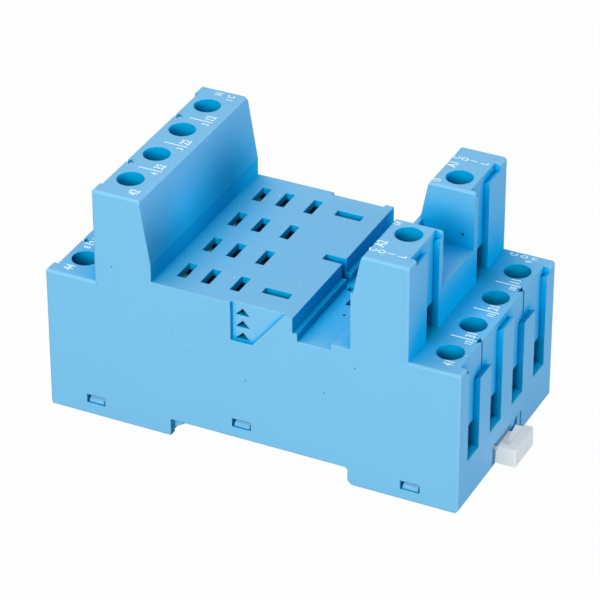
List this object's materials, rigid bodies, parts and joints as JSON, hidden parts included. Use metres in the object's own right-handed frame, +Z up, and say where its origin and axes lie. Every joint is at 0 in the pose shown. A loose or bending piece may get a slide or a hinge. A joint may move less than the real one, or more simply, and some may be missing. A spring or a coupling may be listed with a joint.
{
  "type": "relay socket",
  "caption": "Relay socket for a mounting rail: stepped moulded housing with screw-clamp terminals on two levels, a bay with slots for a plug-in relay and a pull-out rail clip.",
  "frame": {"origin": "the bottom centre of the bounding box with the clip pushed in, in the plane of the feet", "axes": "+X along the socket from the four-screw tower towards the rail clip, +Y from the front side face to the back one, along the rail, +Z up towards the relay"},
  "size_m": [0.0866, 0.043, 0.0482],
  "materials": {
    "blue_moulding": "sky-blue moulded plastic with a fine satin grain",
    "white_moulding": "cool white moulded plastic, satin",
    "contact_strip": "stamped strip with a thin dull tin plate",
    "clamp_steel": "zinc-plated folded steel",
    "screw_steel": "zinc-plated turned steel"
  },
  "bodies": {
    "socket_body": {"housing": "blue_moulding", "base_cover": "blue_moulding", "no_1_contact": "contact_strip", "no_2_contact": "contact_strip", "no_3_contact": "contact_strip", "no_4_contact": "contact_strip", "nc_1_contact": "contact_strip", "nc_2_contact": "contact_strip", "nc_3_contact": "contact_strip", "nc_4_contact": "contact_strip", "com_1_contact": "contact_strip", "com_2_contact": "contact_strip", "com_3_contact": "contact_strip", "com_4_contact": "contact_strip", "coil_1_contact": "contact_strip", "coil_2_contact": "contact_strip"},
    "no_1_screw": {"no_1_screw": "screw_steel"},
    "no_1_cage": {"no_1_cage": "clamp_steel"},
    "no_2_screw": {"no_2_screw": "screw_steel"},
    "no_2_cage": {"no_2_cage": "clamp_steel"},
    "no_3_screw": {"no_3_screw": "screw_steel"},
    "no_3_cage": {"no_3_cage": "clamp_steel"},
    "no_4_screw": {"no_4_screw": "screw_steel"},
    "no_4_cage": {"no_4_cage": "clamp_steel"},
    "nc_1_screw": {"nc_1_screw": "screw_steel"},
    "nc_1_cage": {"nc_1_cage": "clamp_steel"},
    "nc_2_screw": {"nc_2_screw": "screw_steel"},
    "nc_2_cage": {"nc_2_cage": "clamp_steel"},
    "nc_3_screw": {"nc_3_screw": "screw_steel"},
    "nc_3_cage": {"nc_3_cage": "clamp_steel"},
    "nc_4_screw": {"nc_4_screw": "screw_steel"},
    "nc_4_cage": {"nc_4_cage": "clamp_steel"},
    "com_1_screw": {"com_1_screw": "screw_steel"},
    "com_1_cage": {"com_1_cage": "clamp_steel"},
    "com_2_screw": {"com_2_screw": "screw_steel"},
    "com_2_cage": {"com_2_cage": "clamp_steel"},
    "com_3_screw": {"com_3_screw": "screw_steel"},
    "com_3_cage": {"com_3_cage": "clamp_steel"},
    "com_4_screw": {"com_4_screw": "screw_steel"},
    "com_4_cage": {"com_4_cage": "clamp_steel"},
    "coil_1_screw": {"coil_1_screw": "screw_steel"},
    "coil_1_cage": {"coil_1_cage": "clamp_steel"},
    "coil_2_screw": {"coil_2_screw": "screw_steel"},
    "coil_2_cage": {"coil_2_cage": "clamp_steel"},
    "rail_clip": {"rail_clip": "white_moulding"}
  },
  "joints": [
    {"name": "no_1_turn", "type": "hinge", "parent": "socket_body", "child": "no_1_screw", "pos_m": [-0.0385, -0.015, 0.02195], "axis": [0, 0, -1], "range_deg": [0, 2520]},
    {"name": "no_1_lift", "type": "slide", "parent": "socket_body", "child": "no_1_cage", "axis": [0, 0, 1], "range_m": [0, 0.0042]},
    {"name": "no_2_turn", "type": "hinge", "parent": "socket_body", "child": "no_2_screw", "pos_m": [-0.0385, -0.005, 0.02195], "axis": [0, 0, -1], "range_deg": [0, 2520]},
    {"name": "no_2_lift", "type": "slide", "parent": "socket_body", "child": "no_2_cage", "axis": [0, 0, 1], "range_m": [0, 0.0042]},
    {"name": "no_3_turn", "type": "hinge", "parent": "socket_body", "child": "no_3_screw", "pos_m": [-0.0385, 0.005, 0.02195], "axis": [0, 0, -1], "range_deg": [0, 2520]},
    {"name": "no_3_lift", "type": "slide", "parent": "socket_body", "child": "no_3_cage", "axis": [0, 0, 1], "range_m": [0, 0.0042]},
    {"name": "no_4_turn", "type": "hinge", "parent": "socket_body", "child": "no_4_screw", "pos_m": [-0.0385, 0.015, 0.02195], "axis": [0, 0, -1], "range_deg": [0, 2520]},
    {"name": "no_4_lift", "type": "slide", "parent": "socket_body", "child": "no_4_cage", "axis": [0, 0, 1], "range_m": [0, 0.0042]},
    {"name": "nc_1_turn", "type": "hinge", "parent": "socket_body", "child": "nc_1_screw", "pos_m": [-0.0286, -0.015, 0.04195], "axis": [0, 0, -1], "range_deg": [0, 2520]},
    {"name": "nc_1_lift", "type": "slide", "parent": "socket_body", "child": "nc_1_cage", "axis": [0, 0, 1], "range_m": [0, 0.0042]},
    {"name": "nc_2_turn", "type": "hinge", "parent": "socket_body", "child": "nc_2_screw", "pos_m": [-0.0286, -0.005, 0.04195], "axis": [0, 0, -1], "range_deg": [0, 2520]},
    {"name": "nc_2_lift", "type": "slide", "parent": "socket_body", "child": "nc_2_cage", "axis": [0, 0, 1], "range_m": [0, 0.0042]},
    {"name": "nc_3_turn", "type": "hinge", "parent": "socket_body", "child": "nc_3_screw", "pos_m": [-0.0286, 0.005, 0.04195], "axis": [0, 0, -1], "range_deg": [0, 2520]},
    {"name": "nc_3_lift", "type": "slide", "parent": "socket_body", "child": "nc_3_cage", "axis": [0, 0, 1], "range_m": [0, 0.0042]},
    {"name": "nc_4_turn", "type": "hinge", "parent": "socket_body", "child": "nc_4_screw", "pos_m": [-0.0286, 0.015, 0.04195], "axis": [0, 0, -1], "range_deg": [0, 2520]},
    {"name": "nc_4_lift", "type": "slide", "parent": "socket_body", "child": "nc_4_cage", "axis": [0, 0, 1], "range_m": [0, 0.0042]},
    {"name": "com_1_turn", "type": "hinge", "parent": "socket_body", "child": "com_1_screw", "pos_m": [0.0342, -0.015, 0.02195], "axis": [0, 0, -1], "range_deg": [0, 2520]},
    {"name": "com_1_lift", "type": "slide", "parent": "socket_body", "child": "com_1_cage", "axis": [0, 0, 1], "range_m": [0, 0.0042]},
    {"name": "com_2_turn", "type": "hinge", "parent": "socket_body", "child": "com_2_screw", "pos_m": [0.0342, -0.005, 0.02195], "axis": [0, 0, -1], "range_deg": [0, 2520]},
    {"name": "com_2_lift", "type": "slide", "parent": "socket_body", "child": "com_2_cage", "axis": [0, 0, 1], "range_m": [0, 0.0042]},
    {"name": "com_3_turn", "type": "hinge", "parent": "socket_body", "child": "com_3_screw", "pos_m": [0.0342, 0.005, 0.02195], "axis": [0, 0, -1], "range_deg": [0, 2520]},
    {"name": "com_3_lift", "type": "slide", "parent": "socket_body", "child": "com_3_cage", "axis": [0, 0, 1], "range_m": [0, 0.0042]},
    {"name": "com_4_turn", "type": "hinge", "parent": "socket_body", "child": "com_4_screw", "pos_m": [0.0342, 0.015, 0.02195], "axis": [0, 0, -1], "range_deg": [0, 2520]},
    {"name": "com_4_lift", "type": "slide", "parent": "socket_body", "child": "com_4_cage", "axis": [0, 0, 1], "range_m": [0, 0.0042]},
    {"name": "coil_1_turn", "type": "hinge", "parent": "socket_body", "child": "coil_1_screw", "pos_m": [0.0241, -0.011, 0.04195], "axis": [0, 0, -1], "range_deg": [0, 2520]},
    {"name": "coil_1_lift", "type": "slide", "parent": "socket_body", "child": "coil_1_cage", "axis": [0, 0, 1], "range_m": [0, 0.0042]},
    {"name": "coil_2_turn", "type": "hinge", "parent": "socket_body", "child": "coil_2_screw", "pos_m": [0.0241, 0.011, 0.04195], "axis": [0, 0, -1], "range_deg": [0, 2520]},
    {"name": "coil_2_lift", "type": "slide", "parent": "socket_body", "child": "coil_2_cage", "axis": [0, 0, 1], "range_m": [0, 0.0042]},
    {"name": "clip_pull", "type": "slide", "parent": "socket_body", "child": "rail_clip", "axis": [1, 0, 0], "range_m": [0, 0.0025], "stiffness_N_per_m": 400}
  ],
  "couplings": [
    {"joint": "no_1_turn", "follows": "no_1_lift", "rad_per_m": 10472},
    {"joint": "no_2_turn", "follows": "no_2_lift", "rad_per_m": 10472},
    {"joint": "no_3_turn", "follows": "no_3_lift", "rad_per_m": 10472},
    {"joint": "no_4_turn", "follows": "no_4_lift", "rad_per_m": 10472},
    {"joint": "nc_1_turn", "follows": "nc_1_lift", "rad_per_m": 10472},
    {"joint": "nc_2_turn", "follows": "nc_2_lift", "rad_per_m": 10472},
    {"joint": "nc_3_turn", "follows": "nc_3_lift", "rad_per_m": 10472},
    {"joint": "nc_4_turn", "follows": "nc_4_lift", "rad_per_m": 10472},
    {"joint": "com_1_turn", "follows": "com_1_lift", "rad_per_m": 10472},
    {"joint": "com_2_turn", "follows": "com_2_lift", "rad_per_m": 10472},
    {"joint": "com_3_turn", "follows": "com_3_lift", "rad_per_m": 10472},
    {"joint": "com_4_turn", "follows": "com_4_lift", "rad_per_m": 10472},
    {"joint": "coil_1_turn", "follows": "coil_1_lift", "rad_per_m": 10472},
    {"joint": "coil_2_turn", "follows": "coil_2_lift", "rad_per_m": 10472}
  ]
}
